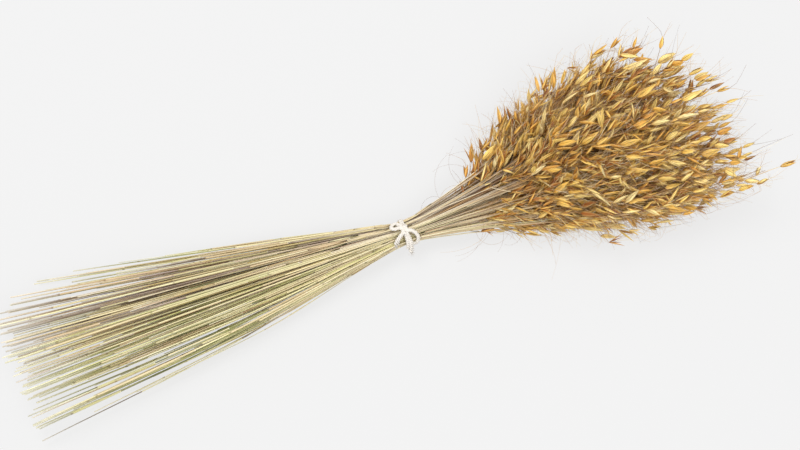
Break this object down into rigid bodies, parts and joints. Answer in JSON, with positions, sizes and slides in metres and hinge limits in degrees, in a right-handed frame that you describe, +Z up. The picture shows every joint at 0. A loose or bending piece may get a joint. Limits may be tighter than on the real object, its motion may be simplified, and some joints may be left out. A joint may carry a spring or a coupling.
{
  "type": "bunch of dried king grass",
  "caption": "Bunch of dried king grass lying on its side: straight stalks with oat-like heads, gathered at the middle by a soft white tie with a small bow.",
  "frame": {"origin": "on the surface that the bunch lies on, under the middle of its box", "axes": "+X along the bunch from the cut ends to the heads, +Y across it, +Z up from the surface"},
  "size_m": [0.7002, 0.1578, 0.093],
  "materials": {
    "straw_yellow": "dry grass stalks, dull with a faint sheen along the stalk; husks paler and papery",
    "straw_gold": "dry grass stalks, dull with a faint sheen along the stalk; husks paler and papery",
    "straw_brown": "dry grass stalks, dull with a faint sheen along the stalk; husks paler and papery",
    "straw_green": "dry grass stalks, dull with a faint sheen along the stalk; husks paler and papery",
    "yarn": "soft white yarn, matt and a little fuzzy"
  },
  "bodies": {
    "root": {"stalks_01": "straw_yellow", "stalks_02": "straw_gold", "stalks_03": "straw_brown", "stalks_04": "straw_green", "stalks_05": "straw_yellow", "stalks_06": "straw_gold", "stalks_07": "straw_brown", "stalks_08": "straw_green", "stalks_09": "straw_yellow", "stalks_10": "straw_gold", "stalks_11": "straw_brown", "stalks_12": "straw_green", "stalks_13": "straw_yellow", "stalks_14": "straw_gold", "stalks_15": "straw_brown", "stalks_16": "straw_green", "stalks_17": "straw_yellow", "stalks_18": "straw_gold", "stalks_19": "straw_brown", "stalks_20": "straw_green", "stalks_21": "straw_yellow", "stalks_22": "straw_gold", "stalks_23": "straw_brown", "stalks_24": "straw_green", "stalks_25": "straw_yellow", "stalks_26": "straw_gold", "stalks_27": "straw_brown", "stalks_28": "straw_green", "stalks_29": "straw_yellow", "stalks_30": "straw_gold", "stalks_31": "straw_brown", "stalks_32": "straw_green", "stalks_33": "straw_yellow", "stalks_34": "straw_gold", "stalks_35": "straw_brown", "stalks_36": "straw_green", "stalks_37": "straw_yellow", "stalks_38": "straw_gold", "stalks_39": "straw_brown", "stalks_40": "straw_green", "stalks_41": "straw_yellow", "stalks_42": "straw_gold", "stalks_43": "straw_brown", "tie": "yarn"}
  },
  "joints": []
}
